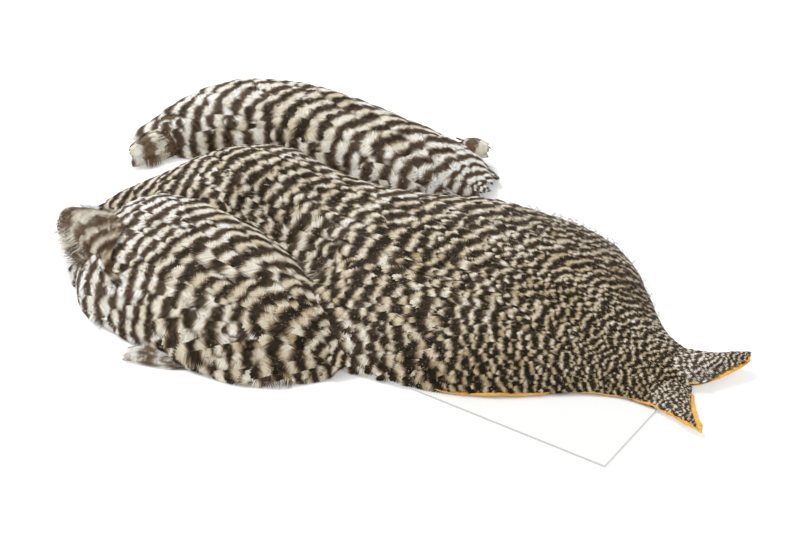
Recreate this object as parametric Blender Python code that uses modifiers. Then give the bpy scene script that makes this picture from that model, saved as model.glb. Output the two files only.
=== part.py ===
"""A grizzly hen neck cape: the dried hide with its feathers on, lying feather side up on its card.

The pelt lies along X with the head at +X, where the hide forks into two points. The neck hackle
runs back from there over a low ridge, and a mound of shoulder feathers lies on each side of it.
Lengths are written in millimetres and built in metres.
"""

import math

import bmesh
import bpy
from mathutils import Vector

MM = 0.001

# Driving dimensions
CARD_LENGTH, CARD_WIDTH, CARD_THICKNESS = 192.0, 76.0, 0.8
CARD_HEAD_END = -5.0
CARD_NEAR_EDGE = -54.0
HIDE_THICKNESS = 1.2
GAP = 0.35
HIDE_UNDERSIDE = CARD_THICKNESS + GAP
HIDE_TOP = HIDE_UNDERSIDE + HIDE_THICKNESS
HIDE_ROOM_DEPTH = HIDE_TOP + 8.0
PRONG_LIFT_NEAR, PRONG_LIFT_FAR, PRONG_LIFT_POWER = 1.2, 4.5, 1.6

# Hide outline, from the notch between the head points to the cut behind the shoulders:
# place along the pelt, near edge, far edge
HIDE_ROWS = (
    (-3, -17.2, 21.2),
    (-12, -18.0, 22.6),
    (-22, -19.8, 26.2),
    (-32, -24.5, 34.8),
    (-42, -31.2, 45.4),
    (-54, -40.4, 56.8),
    (-68, -48.6, 64.8),
    (-84, -55.0, 68.4),
    (-102, -59.4, 68.8),
    (-122, -63.0, 68.6),
    (-145, -68.0, 74.0),
    (-170, -68.0, 76.0),
    (-195, -62.0, 68.0),
    (-214, -44.0, 52.0),
)
# Head points, from the notch row outwards: outer edge, inner edge
NEAR_POINT = (
    ((2.0, -18.0), (2.0, -1.6)),
    ((6.5, -19.0), (5.0, -5.6)),
    ((12.0, -20.2), (9.5, -12.2)),
    ((16.6, -21.6), (14.4, -17.6)),
)
FAR_POINT = (
    ((-0.5, 21.8), (2.2, 2.6)),
    ((3.0, 23.2), (6.4, 8.4)),
    ((7.0, 25.0), (10.4, 15.0)),
    ((11.0, 26.8), (13.4, 22.0)),
)

# Feather mounds, from the head backwards: near edge, far edge, height of the crest
NECK_MOUND = (
    ((-3.6, -15.1), (-4.3, 18.8), 3.4),
    ((-12, -16.4), (-12, 20.2), 4.2),
    ((-22, -18.0), (-22, 23.6), 5.4),
    ((-32, -22.6), (-32, 32.0), 6.8),
    ((-42, -29.4), (-42, 42.6), 8.8),
    ((-54, -38.4), (-54, 54.0), 11.2),
    ((-68, -46.2), (-68, 62.4), 13.2),
    ((-84, -52.2), (-84, 66.0), 15.2),
    ((-102, -56.4), (-102, 66.0), 16.6),
    ((-120, -58.4), (-120, 63.5), 17.6),
    ((-140, -55.2), (-140, 53.0), 18.2),
    ((-160, -45.4), (-160, 45.0), 18.8),
    ((-182, -37.4), (-182, 42.2), 20.2),
    ((-204, -33.6), (-204, 44.0), 21.4),
    ((-224, -31.6), (-224, 33.0), 18.6),
    ((-240, -25.0), (-238, 10.4), 11.4),
    ((-251, -21.0), (-249, -8.4), 5.0),
)
NEAR_SHOULDER = (
    ((-118, -65.0), (-123, -44.0), 6.2),
    ((-127, -76.7), (-134, -32.0), 11.2),
    ((-142, -85.7), (-152, -23.0), 15.8),
    ((-162, -88.7), (-174, -13.0), 19.4),
    ((-185, -87.7), (-197, -6.0), 21.4),
    ((-206, -84.7), (-216, -6.0), 21.4),
    ((-221, -79.7), (-231, -13.0), 18.8),
    ((-230, -70.2), (-242, -30.0), 11.0),
)
FAR_SHOULDER = (
    ((-135, 62.5), (-135, 79.2), 5.5),
    ((-149, 54.6), (-145, 87.7), 10.4),
    ((-166, 48.6), (-162, 90.2), 14.0),
    ((-186, 44.6), (-186, 90.7), 16.4),
    ((-206, 40.6), (-212, 90.2), 18.0),
    ((-224, 35.6), (-238, 85.7), 18.2),
    ((-238, 30.6), (-255, 74.7), 17.6),
    ((-248, 25.6), (-266, 57.7), 14.8),
    ((-257, 21.6), (-272, 40.0), 10.2),
)
# Side feathers that stand clear of the mounds: one edge, other edge, height, thickness
CURLED_TUFT = (
    ((-208, -38), (-206, -58), 11.0, 6.0),
    ((-226, -38), (-225, -59), 9.5, 5.0),
    ((-237, -37), (-235, -57), 9.6, 4.6),
    ((-248, -38), (-244, -54), 10.4, 3.8),
    ((-256, -40), (-253, -50), 11.6, 2.0),
)
STRAY_FEATHERS = (
    ((-160, -82), (-170, -72), 1.8, 2.6),
    ((-171, -91), (-176, -80), 1.6, 2.6),
    ((-181, -96), (-184, -87), 1.4, 2.2),
    ((-189, -99), (-191, -94), 1.0, 1.6),
)
FAR_TIP_FEATHER = (
    ((-248, 22), (-258, 42), 6.0, 4.4),
    ((-256, 17), (-264, 36), 3.8, 3.6),
    ((-263, 12), (-271, 28), 2.6, 3.0),
    ((-269, 8), (-275, 19), 1.6, 2.0),
)
# Plumage of the head points: where it starts inside the neck (near, far), how far it stays inside
# the hide's outer and inner edge and its tip, and its crest on the hide, higher by the base
NEAR_POINT_BASE = ((-12.4, -13.6), (-13.3, -1.3))
FAR_POINT_BASE = ((-13, 1.6), (-12, 17.2))
POINT_OUTER_INSET, POINT_INNER_INSET, POINT_TIP_INSET = 1.3, 1.82, 1.6
POINT_CREST, POINT_BASE_CREST, POINT_BASE_RISE, POINT_BASE_ROWS = 2.2, 2.6, 1.6, 2
POINT_FOOT = -1.0

# Feather relief on the mounds: feather ends across, first and last step between rows, height of
# the first and the last row's ends
SHOULDER_RELIEF = (6, (10, 15), (1.3, 1.9))
NECK_RELIEF = (9, (5.5, 17), (0.5, 1.9))
POINT_RELIEF = (3, (5, 5), (0.4, 0.5))
SAMPLES_PER_FEATHER = 4
END_BULGE, END_STEP, ROW_SETBACK, LAST_SETBACK = 0.36, 0.07, 0.18, 0.30
END_EDGE, END_DIP = 0.45, 0.35
SIDE_WALL = 1.3
CROSS_POWER, CROSS_ROUNDING, NORMAL_RISE = 2.3, 0.58, 1.05

# Room that the shoulders' mounds leave in the neck
SHOULDER_ROOM, ROOM_OVERRUN, ROOM_FOOT = 1.9 + GAP, 1.4, -3.0
ROOM_COLUMNS, ROOM_STEPS = 24, 4
BLADE_SIDES, BLADE_STEPS = 12, 4

COLOURS = {
    "card": ((0.88, 0.88, 0.86, 1), 0.55),
    "hide": ((0.86, 0.47, 0.07, 1), 0.45),
    "feathers": ((0.30, 0.26, 0.21, 1), 0.6),
}


def clear_scene():
    for old in list(bpy.data.objects):
        bpy.data.objects.remove(old, do_unlink=True)


def new_collection(name, shown=True):
    collection = bpy.data.collections.new(name)
    bpy.context.scene.collection.children.link(collection)
    collection.hide_render = not shown
    return collection


def finish(name):
    colour, roughness = COLOURS[name]
    material = bpy.data.materials.get(name) or bpy.data.materials.new(name)
    material.use_nodes = True
    shader = material.node_tree.nodes["Principled BSDF"]
    shader.inputs["Base Color"].default_value = colour
    shader.inputs["Roughness"].default_value = roughness
    return material


def add_object(name, mesh, collection, slot=None):
    obj = bpy.data.objects.new(name, mesh)
    collection.objects.link(obj)
    if slot:
        mesh.materials.append(finish(slot))
    else:
        obj.hide_render = True
        obj.display_type = "WIRE"
    return obj


def mesh_from_rings(name, rings):
    """A closed body through rings of equal length, each end shut by a fan."""
    shape = bmesh.new()
    loops = [[shape.verts.new(Vector(p) * MM) for p in ring] for ring in rings]
    count = len(loops[0])
    for first, second in zip(loops, loops[1:]):
        for k in range(count):
            following = (k + 1) % count
            shape.faces.new((first[k], first[following], second[following], second[k]))
    for loop in (loops[0], loops[-1]):
        middle = shape.verts.new(sum((v.co for v in loop), Vector()) / count)
        for k in range(count):
            shape.faces.new((loop[k], loop[(k + 1) % count], middle))
    bmesh.ops.recalc_face_normals(shape, faces=shape.faces)
    mesh = bpy.data.meshes.new(name)
    shape.to_mesh(mesh)
    shape.free()
    return mesh


def smooth_between(values, place):
    """Catmull-Rom through values, at a place counted in whole steps from the first."""
    last = len(values) - 1
    i = min(max(math.floor(place), 0), last - 1)
    t = place - i
    before, a, b, after = (values[min(max(i + k, 0), last)] for k in (-1, 0, 1, 2))
    return 0.5 * (
        2 * a
        + (b - a if i == 0 else b - before) * t
        + (2 * before - 5 * a + 4 * b - after) * t * t
        + (3 * a - before - 3 * b + after) * t * t * t
    )


def station(stations, place):
    """Near point, far point and crest height of a mound at a place along it."""
    flat = [(a[0], a[1], b[0], b[1], crest) for a, b, crest in stations]
    ax, ay, bx, by, crest = (smooth_between([row[k] for row in flat], place) for k in range(5))
    return Vector((ax, ay, 0)), Vector((bx, by, 0)), crest


def mound_length(stations):
    middles = [(Vector(a) + Vector(b)) / 2 for a, b, _ in stations]
    return sum((b - a).length for a, b in zip(middles, middles[1:]))


def mound_point(stations, place, across, raised):
    """A point of the mound's skin, raised mm out from it. across runs from -1 (near) to 1 (far)."""
    near, far, crest = station(stations, place)
    middle, half = (near + far) / 2, (far - near) / 2
    height = crest * (1 - min(abs(across), 1) ** CROSS_POWER) ** CROSS_ROUNDING + SIDE_WALL
    outward = half.normalized() * math.copysign(abs(across) ** CROSS_POWER, across)
    normal = (outward + Vector((0, 0, NORMAL_RISE - abs(across) ** CROSS_POWER))).normalized()
    point = middle + half * across + Vector((0, 0, height)) + normal * raised
    point.z = max(point.z, SIDE_WALL)
    return point


def row_places(stations, first_step, last_step):
    """Places along the mound where a row of feathers ends, wider apart towards the back."""
    length = mound_length(stations)
    steps, travelled = [], 0.0
    while travelled < length:
        step = first_step + (last_step - first_step) * travelled / length
        travelled += step
        steps.append(step)
    spare = length / travelled
    places, at = [], 0.0
    for step in steps:
        at += step * spare
        places.append(at / length * (len(stations) - 1))
    return places


def feathered_mound(name, stations, relief, collection, slot=None, foot=0.0):
    """A mound whose top is rows of overlapping round feather ends, each row half a feather over."""
    columns, steps, (first_height, last_height) = relief
    places = row_places(stations, *steps)
    samples = columns * SAMPLES_PER_FEATHER
    crosswise = [-1 + 2 * k / samples for k in range(samples + 1)]

    def ring(row, place, bulge, low):
        points = []
        for k, across in enumerate(crosswise):
            offset = SAMPLES_PER_FEATHER // 2 * (row % 2)
            along_feather = ((k + offset) % SAMPLES_PER_FEATHER) / SAMPLES_PER_FEATHER
            rounding = 1 - (2 * along_feather - 1) ** 2
            share = place / (len(stations) - 1)
            size = first_height + (last_height - first_height) * share
            end = size * (END_EDGE + (1 - END_EDGE) * rounding)
            raised = -END_DIP * size * rounding if low else end
            points.append(mound_point(stations, place + bulge * rounding, across, raised))
        near, far = points[0].copy(), points[-1].copy()
        near.z = far.z = foot
        return [near, *points, far]

    rings = [ring(0, 0.0, 0.0, True)]
    for row, place in enumerate(places):
        step = place - (places[row - 1] if row else 0.0)
        last = row == len(places) - 1
        start = place - (LAST_SETBACK if last else ROW_SETBACK) * step
        rings.append(ring(row, start, END_BULGE * step, False))
        if not last:
            rings.append(ring(row, start + END_STEP * step, END_BULGE * step, True))
    return add_object(name, mesh_from_rings(name, rings), collection, slot)


def shoulder_room(name, stations, collection):
    """A mound without feathers, larger all round: the room that a shoulder needs in the neck."""
    last = len(stations) - 1
    crosswise = [-1 + 2 * k / ROOM_COLUMNS for k in range(ROOM_COLUMNS + 1)]
    rings = []
    for k in range(ROOM_STEPS * last + 1):
        place = k / ROOM_STEPS
        points = [mound_point(stations, place, across, SHOULDER_ROOM) for across in crosswise]
        near, far = points[0].copy(), points[-1].copy()
        near.z = far.z = ROOM_FOOT
        rings.append([near, *points, far])
    for inner, outer, at in ((1, 0, 0), (-2, -1, len(rings))):
        ahead = sum(rings[outer], Vector()) - sum(rings[inner], Vector())
        ahead.z = 0
        reach = ahead.normalized() * ROOM_OVERRUN
        rings.insert(at, [p + reach for p in rings[outer]])
    return add_object(name, mesh_from_rings(name, rings), collection)


def blade(name, stations, collection):
    """A flat group of feathers, thick at its shafts and thin at its edges."""
    rings = []
    for k in range((len(stations) - 1) * BLADE_STEPS + 1):
        place = k / BLADE_STEPS
        flat = [(a[0], a[1], b[0], b[1], z, t) for a, b, z, t in stations]
        ax, ay, bx, by, z, thick = (smooth_between([r[n] for r in flat], place) for n in range(6))
        middle = Vector(((ax + bx) / 2, (ay + by) / 2, z))
        half = Vector(((bx - ax) / 2, (by - ay) / 2, 0))
        ring = []
        for side in range(BLADE_SIDES):
            angle = 2 * math.pi * side / BLADE_SIDES
            up = Vector((0, 0, math.sin(angle) * thick / 2))
            ring.append(middle + half * math.cos(angle) + up)
        rings.append(ring)
    return add_object(name, mesh_from_rings(name, rings), collection)


def hide_height(along_point, far_side):
    """How high the hide lifts along a head point, 0 at the notch and 1 at the tip."""
    lift = PRONG_LIFT_FAR if far_side else PRONG_LIFT_NEAR
    return lift * along_point**PRONG_LIFT_POWER


def hide_sheet(name, grow, level, thickness, collection, slot=None):
    """The hide as an open sheet at a level, grown sideways, then thickened downwards."""
    half_columns, steps = 5, 2
    shape = bmesh.new()

    def vertex(x, y, z):
        return shape.verts.new(Vector((x, y, level + z)) * MM)

    def spread(a, b, z, count, skip=None):
        a, b = Vector(a), Vector(b)
        row = [a.lerp(b, k / count) for k in range(count + 1)]
        return [None if k == skip else vertex(p.x, p.y, z) for k, p in enumerate(row)]

    def fill(first, second):
        for k in range(len(first) - 1):
            shape.faces.new((first[k], first[k + 1], second[k + 1], second[k]))

    rows = []
    for k in range((len(HIDE_ROWS) - 1) * steps + 1):
        x, near, far = (smooth_between([r[n] for r in HIDE_ROWS], k / steps) for n in range(3))
        x += grow if k == 0 else -grow if k == (len(HIDE_ROWS) - 1) * steps else 0
        rows.append(spread((x, near - grow), (x, far + grow), 0, 2 * half_columns))
    for first, second in zip(rows, rows[1:]):
        fill(first, second)

    notch = rows[0]
    for far_side, outline in ((False, NEAR_POINT), (True, FAR_POINT)):
        previous = notch[half_columns:] if far_side else notch[: half_columns + 1]
        for k, (outer, inner) in enumerate(outline):
            outer, inner = Vector(outer), Vector(inner)
            wider = (outer - inner).normalized() * grow
            outer, inner = outer + wider, inner - wider
            if k == len(outline) - 1:
                outer.x += grow
                inner.x += grow
            ends = (inner, outer) if far_side else (outer, inner)
            z = hide_height((k + 1) / len(outline), far_side)
            current = spread(*ends, z, half_columns)
            fill(previous, current)
            previous = current

    bmesh.ops.recalc_face_normals(shape, faces=shape.faces)
    if sum(face.normal.z for face in shape.faces) < 0:
        bmesh.ops.reverse_faces(shape, faces=shape.faces)
    mesh = bpy.data.meshes.new(name)
    shape.to_mesh(mesh)
    shape.free()
    obj = add_object(name, mesh, collection, slot)
    solid = obj.modifiers.new("thickness", "SOLIDIFY")
    solid.thickness = thickness * MM
    solid.offset = -1
    return obj


def head_point_plumage(name, outline, far_side, collection):
    """Short feathers over one head point, as a low mound from inside the neck to near the tip."""
    base = FAR_POINT_BASE if far_side else NEAR_POINT_BASE
    stations = [(*base, POINT_BASE_CREST)]
    for k, (outer, inner) in enumerate(outline):
        outer, inner = Vector(outer), Vector(inner)
        inwards = (inner - outer).normalized()
        outer, inner = outer + inwards * POINT_OUTER_INSET, inner - inwards * POINT_INNER_INSET
        if k == len(outline) - 1:
            outer.x -= POINT_TIP_INSET
            inner.x -= POINT_TIP_INSET
        near, far = (inner, outer) if far_side else (outer, inner)
        rise = POINT_BASE_RISE if k < POINT_BASE_ROWS else 0
        crest = POINT_CREST + hide_height((k + 1) / len(outline), far_side) + rise
        stations.append((tuple(near), tuple(far), crest))
    return feathered_mound(name, stations, POINT_RELIEF, collection, foot=POINT_FOOT)


def boolean(obj, other, operation):
    step = obj.modifiers.new(f"{operation.lower()} {other.name}", "BOOLEAN")
    step.operation = operation
    step.object = other


def add_card(collection):
    bpy.ops.mesh.primitive_cube_add(size=1)
    card = bpy.context.object
    card.name = card.data.name = "backing_card"
    for old in card.users_collection:
        old.objects.unlink(card)
    collection.objects.link(card)
    card.scale = Vector((CARD_LENGTH, CARD_WIDTH, CARD_THICKNESS)) * MM
    card.location = Vector((
        CARD_HEAD_END - CARD_LENGTH / 2,
        CARD_NEAR_EDGE + CARD_WIDTH / 2,
        CARD_THICKNESS / 2,
    )) * MM
    bpy.context.view_layer.update()
    card.data.transform(card.matrix_world)
    card.matrix_world.identity()
    card.data.materials.append(finish("card"))


def centre_on_origin(collections):
    """Moves every object so that the origin is under the middle of the whole pelt."""
    bpy.context.view_layer.update()
    graph = bpy.context.evaluated_depsgraph_get()
    corners = [
        obj.matrix_world @ Vector(corner)
        for obj in collections[0].objects
        for corner in obj.evaluated_get(graph).bound_box
    ]
    low = Vector(min(c[k] for c in corners) for k in range(3))
    high = Vector(max(c[k] for c in corners) for k in range(3))
    shift = Vector((-(low.x + high.x) / 2, -(low.y + high.y) / 2, -low.z))
    for collection in collections:
        for obj in collection.objects:
            obj.location += shift


def main():
    clear_scene()
    cape = new_collection("hen_neck_cape")
    cutters = new_collection("room_for_neighbours", shown=False)

    add_card(cape)
    hide_sheet("hide", 0, HIDE_TOP, HIDE_THICKNESS, cape, "hide")
    under = hide_sheet("room_for_hide", GAP, HIDE_TOP + GAP, HIDE_ROOM_DEPTH, cutters)

    near = feathered_mound(
        "near_shoulder_feathers", NEAR_SHOULDER, SHOULDER_RELIEF, cape, "feathers")
    far = feathered_mound(
        "far_shoulder_feathers", FAR_SHOULDER, SHOULDER_RELIEF, cape, "feathers")
    neck = feathered_mound("neck_hackle", NECK_MOUND, NECK_RELIEF, cape, "feathers")
    near_point = head_point_plumage("near_point_plumage", NEAR_POINT, False, cutters)
    far_point = head_point_plumage("far_point_plumage", FAR_POINT, True, cutters)
    for point in (near_point, far_point):
        boolean(neck, point, "UNION")

    near_room = shoulder_room("room_for_near_shoulder", NEAR_SHOULDER, cutters)
    far_room = shoulder_room("room_for_far_shoulder", FAR_SHOULDER, cutters)
    for cutter in (under, near_room, far_room):
        boolean(neck, cutter, "DIFFERENCE")
    boolean(near, under, "DIFFERENCE")
    boolean(far, under, "DIFFERENCE")

    for mound, loose in (
        (near, blade("curled_tuft", CURLED_TUFT, cutters)),
        (near, blade("stray_side_feathers", STRAY_FEATHERS, cutters)),
        (far, blade("far_tip_feather", FAR_TIP_FEATHER, cutters)),
    ):
        boolean(mound, loose, "UNION")

    centre_on_origin((cape, cutters))


main()
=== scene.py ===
"""A grizzly hen neck cape lying feather side up on its white card: its feathers, hide, card and light.

Each feather is mesh: barbs fanning from a shaft, laid on a guide surface of the same form as the
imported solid. Feathers overlap as roof tiles do, and their bars follow one wave over each mass.
Lengths are written in millimetres in the pelt's own frame: zero is the notch between the two head
points, +X runs towards the head and +Y to the far side.
"""

import math

import bmesh
import bpy
import numpy as np
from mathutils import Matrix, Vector


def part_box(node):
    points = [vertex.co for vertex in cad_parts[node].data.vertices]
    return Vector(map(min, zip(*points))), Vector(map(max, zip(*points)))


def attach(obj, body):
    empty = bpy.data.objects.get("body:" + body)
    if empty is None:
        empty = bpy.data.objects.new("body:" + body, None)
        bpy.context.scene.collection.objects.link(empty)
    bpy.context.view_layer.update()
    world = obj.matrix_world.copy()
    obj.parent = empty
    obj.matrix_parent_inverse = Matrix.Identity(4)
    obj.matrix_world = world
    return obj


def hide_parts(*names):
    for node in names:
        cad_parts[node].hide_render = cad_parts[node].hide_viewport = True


MM = 0.001

# The card's corner places the pelt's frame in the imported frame
CARD_HEAD_END, CARD_NEAR_EDGE = -5.0, -54.0

# Behind the head points the hide's rim is drawn in under the feathers, on the near side by a
# distance that changes along it, and less and less near the middle line
TUCK_START, HIDE_MIDDLE, TUCK_ROOM = -6.0, 3.0, 15.0
FAR_TUCK, NEAR_TUCK = 4.5, ((-110, -85, -60), (6.0, 1.3, 0.7))
# Unevenness of the hide's face and of its rim: seed, size of the waves, how far they reach
FACE_RIPPLES = ((71, 9, 0.22), (72, 4, 0.10))
RIM_SEED, RIM_WAVE, RIM_REACH = 73, 12, 0.35

# Camera, as in the photograph: 800 x 533, looking down on the near side. Its distance is in metres
VIEW_AZIMUTH, VIEW_ELEVATION = 33.0, 36.0
VIEW_LENS, EYE_DISTANCE = 120.0, 1.035
AIM = (-121.3, 1.6, 0.0)
AIM_PIXEL, FRAME_PIXELS = (415.0, 285.0), (800.0, 533.0)

# Studio, in metres and watts: the table, how it glows, the surround, and each light's place, size
# and power
TABLE_HALF, TABLE_DROP, TABLE_GLOW = 6.0, 0.0002, 0.28
SURROUND_STRENGTH = 0.68
LIGHTS = (
    ("main_light", (-0.9, 0.3, 1.3), 0.7, 15),
    ("near_light", (0.9, -1.3, 1.0), 1.2, 3),
)

# Masses of feathers, as stations from the head end, where the first feathers grow, to the tail end,
# where the last ones stop: near edge, far edge, height of the crest, height of the foot
NECK = (
    ((-3.6, -15.1), (-4.3, 18.8), 3.0, 0.4),
    ((-12, -16.4), (-12, 20.4), 4.2, 1.1),
    ((-22, -18.2), (-22, 24.2), 5.6, 1.4),
    ((-32, -23.0), (-32, 33.0), 7.4, 1.5),
    ((-42, -30.0), (-42, 43.6), 9.6, 1.5),
    ((-54, -39.0), (-54, 55.0), 12.2, 1.5),
    ((-68, -47.0), (-68, 63.4), 14.6, 1.4),
    ((-84, -53.0), (-84, 67.0), 16.6, 0.9),
    ((-102, -57.2), (-102, 67.0), 18.2, 0),
    ((-120, -59.0), (-120, 64.5), 19.2, 0),
    ((-140, -56.0), (-140, 54.0), 19.8, 0),
    ((-160, -46.0), (-160, 46.0), 20.4, 0),
    ((-182, -38.0), (-182, 43.0), 22.0, 0),
    ((-204, -34.0), (-204, 45.0), 23.6, 0),
    ((-224, -32.0), (-224, 34.0), 20.6, 0),
    ((-240, -31.0), (-238, 11.0), 13.0, 0),
    ((-252, -28.0), (-250, -9.0), 6.5, 0),
)
NEAR_SHOULDER = (
    ((-117, -66.0), (-123, -43.0), 8.0, 0),
    ((-127, -77.5), (-134, -31.0), 13.0, 0),
    ((-142, -86.5), (-152, -22.0), 17.6, 0),
    ((-162, -89.5), (-174, -12.0), 21.4, 0),
    ((-185, -88.5), (-197, -5.0), 23.4, 0),
    ((-206, -85.5), (-216, -5.0), 23.4, 0),
    ((-221, -80.5), (-232, -12.0), 20.8, 0),
    ((-231, -71.0), (-243, -29.0), 13.0, 0),
)
FAR_SHOULDER = (
    ((-134, 60.5), (-135, 81.0), 7.0, 0),
    ((-149, 49.5), (-145, 88.5), 12.0, 0),
    ((-166, 43.5), (-162, 91.0), 15.8, 0),
    ((-186, 41.0), (-186, 91.5), 18.2, 0),
    ((-206, 40.0), (-212, 91.0), 19.8, 0),
    ((-224, 35.0), (-238, 86.5), 20.0, 0),
    ((-238, 30.0), (-256, 75.5), 19.4, 0),
    ((-249, 25.0), (-267, 58.5), 16.6, 0),
    ((-258, 21.0), (-273, 40.5), 12.0, 0),
    ((-266, 17.0), (-277, 29.0), 6.0, 0),
)
NEAR_POINT = (
    ((13.7, -20.4), (11.9, -18.6), 0.5, 3.2),
    ((11.0, -19.4), (7.1, -12.4), 1.1, 2.8),
    ((6.2, -18.2), (2.7, -6.5), 1.9, 2.3),
    ((1.6, -17.2), (0.0, -1.3), 2.6, 1.8),
    ((-6, -16.0), (-6, 1.2), 3.4, 1.0),
    ((-13, -15.4), (-13, 1.5), 3.6, 0.4),
)
FAR_POINT = (
    ((10.9, 23.2), (10.2, 25.6), 0.7, 6.3),
    ((7.2, 17.6), (6.4, 24.8), 1.8, 5.0),
    ((3.2, 11.2), (2.4, 23.6), 2.9, 3.4),
    ((-0.5, 4.9), (-1.2, 22.8), 3.6, 2.2),
    ((-6, 1.0), (-6, 22.0), 4.4, 1.2),
    ((-13, 0.0), (-13, 21.0), 4.6, 0.4),
)
CURLED_TUFT = (
    ((-213, -72), (-221, -45), 6.5, 16.5),
    ((-224, -67.5), (-234, -42), 6.5, 14.0),
    ((-238, -61.5), (-246, -42), 6.0, 11.5),
    ((-252, -55), (-256.5, -43), 4.5, 10.0),
)
STRAY_FEATHERS = (
    ((-170, -91), (-175, -80), 2.4, 0.3),
    ((-180, -96), (-184, -87), 1.8, 0.2),
    ((-189, -99), (-191, -93), 0.8, 0.2),
)
FAR_TIP = (
    ((-252, 26), (-263, 38), 7.5, 2.0),
    ((-257.5, 17), (-268.5, 28), 7.0, 1.5),
    ((-261, 10.5), (-271, 20), 5.5, 1.2),
    ((-263.5, 6), (-271.5, 14), 3.5, 0.8),
)
FAR_END_CURL = (
    ((-153, 90.5), (-149, 82), 5.0, 5.0),
    ((-147, 91.5), (-143, 83.5), 5.0, 6.0),
    ((-142, 91), (-139.5, 86), 3.0, 6.0),
)
# Hollows in the neck beside the near shoulder: place, radius, depth
NECK_HOLLOWS = (
    ((-147, -27), 10, 8.0),
    ((-160, -19), 11, 10.0),
    ((-174, -13), 11, 10.0),
    ((-190, -8), 11, 8.0),
)

# Across, a mass is flat on top and steep at its sides. Past its tail end it falls away and rounds
# off without closing, and past its sides the surface runs on for the tips that overhang
CROSS_POWER, CROSS_ROUNDING = 2.3, 0.56
TAIL_FALL, TAIL_ROUNDING, TAIL_STOP = 6.0, 16.0, 0.95
SIDE_RUN_ON, SURFACE_RISE = 20.0, 0.1
# Points at which a section is measured, and the step along a mass over which a slope is
ARC_POINTS, SLOPE_STEP = 121, 0.5

# The guide that feathers are laid on: how far it goes past its mass, along in mm and across in
# half widths, and the size of its grid
GUIDE_BEFORE, GUIDE_PAST, GUIDE_BESIDE = (-30, -20, -12, -6, -3), (2, 5, 12, 25), (1.1, 1.4, 2.0)
GUIDE_STEP, GUIDE_ROWS_AT_LEAST, GUIDE_COLUMNS = 3.0, 6, 41

# The down under a mass: how far it keeps from the head end, the tail end and the top, in mm, the
# share of the width that it fills, its foot, and the size of its grid
DOWN_FROM_HEAD, DOWN_FROM_TAIL, DOWN_INSET, DOWN_WIDTH = 3.0, 9.0, 1.1, 0.90
DOWN_FOOT, DOWN_THINNEST = 0.05, 0.1
DOWN_STEP, DOWN_ROWS_AT_LEAST, DOWN_COLUMNS = 4.0, 5, 31

# A feather of unit length and width, with its tip at 0 and its root at -1. Barbs grow over its
# barbed length and lean and curve towards the tip, the lowest ones most
LOWEST_BARB, BARBED_LENGTH = -0.92, 0.88
LOW_BARB_LEAN, TIP_BARB_LEAN = 0.26, 0.045
AHEAD_CURVE, OUTWARD_CURVE = 1.3, 0.9
BARB_TAPER = ((0, 0.55, 0.85, 1), (1.1, 1.1, 0.6, 0.04))
BARB_END_SCATTER = 0.004
SHAFT_WIDTH, SHAFT_MIDDLE, SHAFT_END, SHAFT_TAPER = 0.012, -0.5, -0.03, 0.8
ROOT_WIDTH, VANE_START = 0.62, 0.9

# How feathers lie, in mm and shares of their own size: the arch of a vane, the rise of its shaft,
# the lowest that a feather comes, the first row, and the least distance from the head end
VANE_ARCH, SHAFT_RISE, LOWEST_FEATHER = 0.05, 0.08, 0.15
FIRST_ROW, NEAREST_TIP = 1.5, 0.6
# How far feathers differ: place across and along, length, breadth and lift
ACROSS_SCATTER, ALONG_SCATTER, LENGTH_SCATTER, BREADTH_SCATTER, LIFT_SCATTER = (
    0.17, 0.2, 0.05, 0.1, 0.006)
# A feather is longer where its bars are further apart, within these shares of the usual
SHORTEST, LONGEST = 0.7, 1.5
# Sizes of the waves that bend the bars, in mm, and of those that change the shade, with their reach
BAR_WAVE, BAR_RIPPLE = 46, 17
SHADE_WAVE, SHADE_REACH, SHADE_SCATTER = 60, 0.12, 0.08

# Feather atlas: each cell of the feathers' map holds one look, a column for each phase of the
# bars and a row for each shade. A feather keeps a margin in its cell, and the shifts give every
# cell noises of its own
PHASES, SHADES = 12, 6
CELL_MARGIN = 0.04
COLUMN_SHIFT, ROW_SHIFT = 3.1, 17.3
# How many feathers of one kind there are, alike but for the ends of their barbs
VARIANTS = 4
# How many bars a feather of each kind has
NECK_BARS, SHOULDER_BARS, FOLDED_BARS = 3.4, 3.8, 1.7
# The bars of the near shoulder and of the curled tuft run round these places
NEAR_SHOULDER_CENTRE, CURLED_TUFT_CENTRE = (-108, -56), (-210, -74)

# What the feathers of a mass are like. feathers are the templates, bars says how many bars a feather
# has and so how long it is, and breadth is its width to its length. step and spread set rows and
# neighbours apart, as shares of length and width. The rest follow the mass, as pairs of a distance
# along it and a value, where one pair alone holds all over: pitch is the distance from bar to bar,
# fan bends the bars across the mass, tone is the shade, from 0, golden and dark, to 1, pale, and
# uneven is how many bars a bar strays from its place. Bars round a centre follow rings, as pairs of
# a distance from it and a pitch. These hold where a mass gives no value of its own:
PLAIN_PLUME = {
    "run_in": 4.0,  # the length that a feather may reach past the head end
    "overrun": 0,  # how far past the tail end the rows go on
    "lift": 0.3,  # height of the tip over the surface
    "thick": 0.045,  # how deep the root lies under it, as a share of the length
    "roll": 0.03,  # how far feathers turn about their shafts
    "stray": 0.08,  # how far they turn aside
    "splay": 0.0,  # how far they turn outwards near the edges
    "lean": 0.0,  # how far the bars slant across the mass
    "offset": 0.0,  # shifts all the bars, counted in bars
    "waves": (0.35, 0.08),  # how far long and short waves bend the bars, counted in bars
    "tone_across": 0.0,  # how much paler the far side is than the middle
    "part": (-math.inf, math.inf),  # the stretch along the mass that is made
    "band": (-math.inf, math.inf),  # the stretch across it
}

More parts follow.
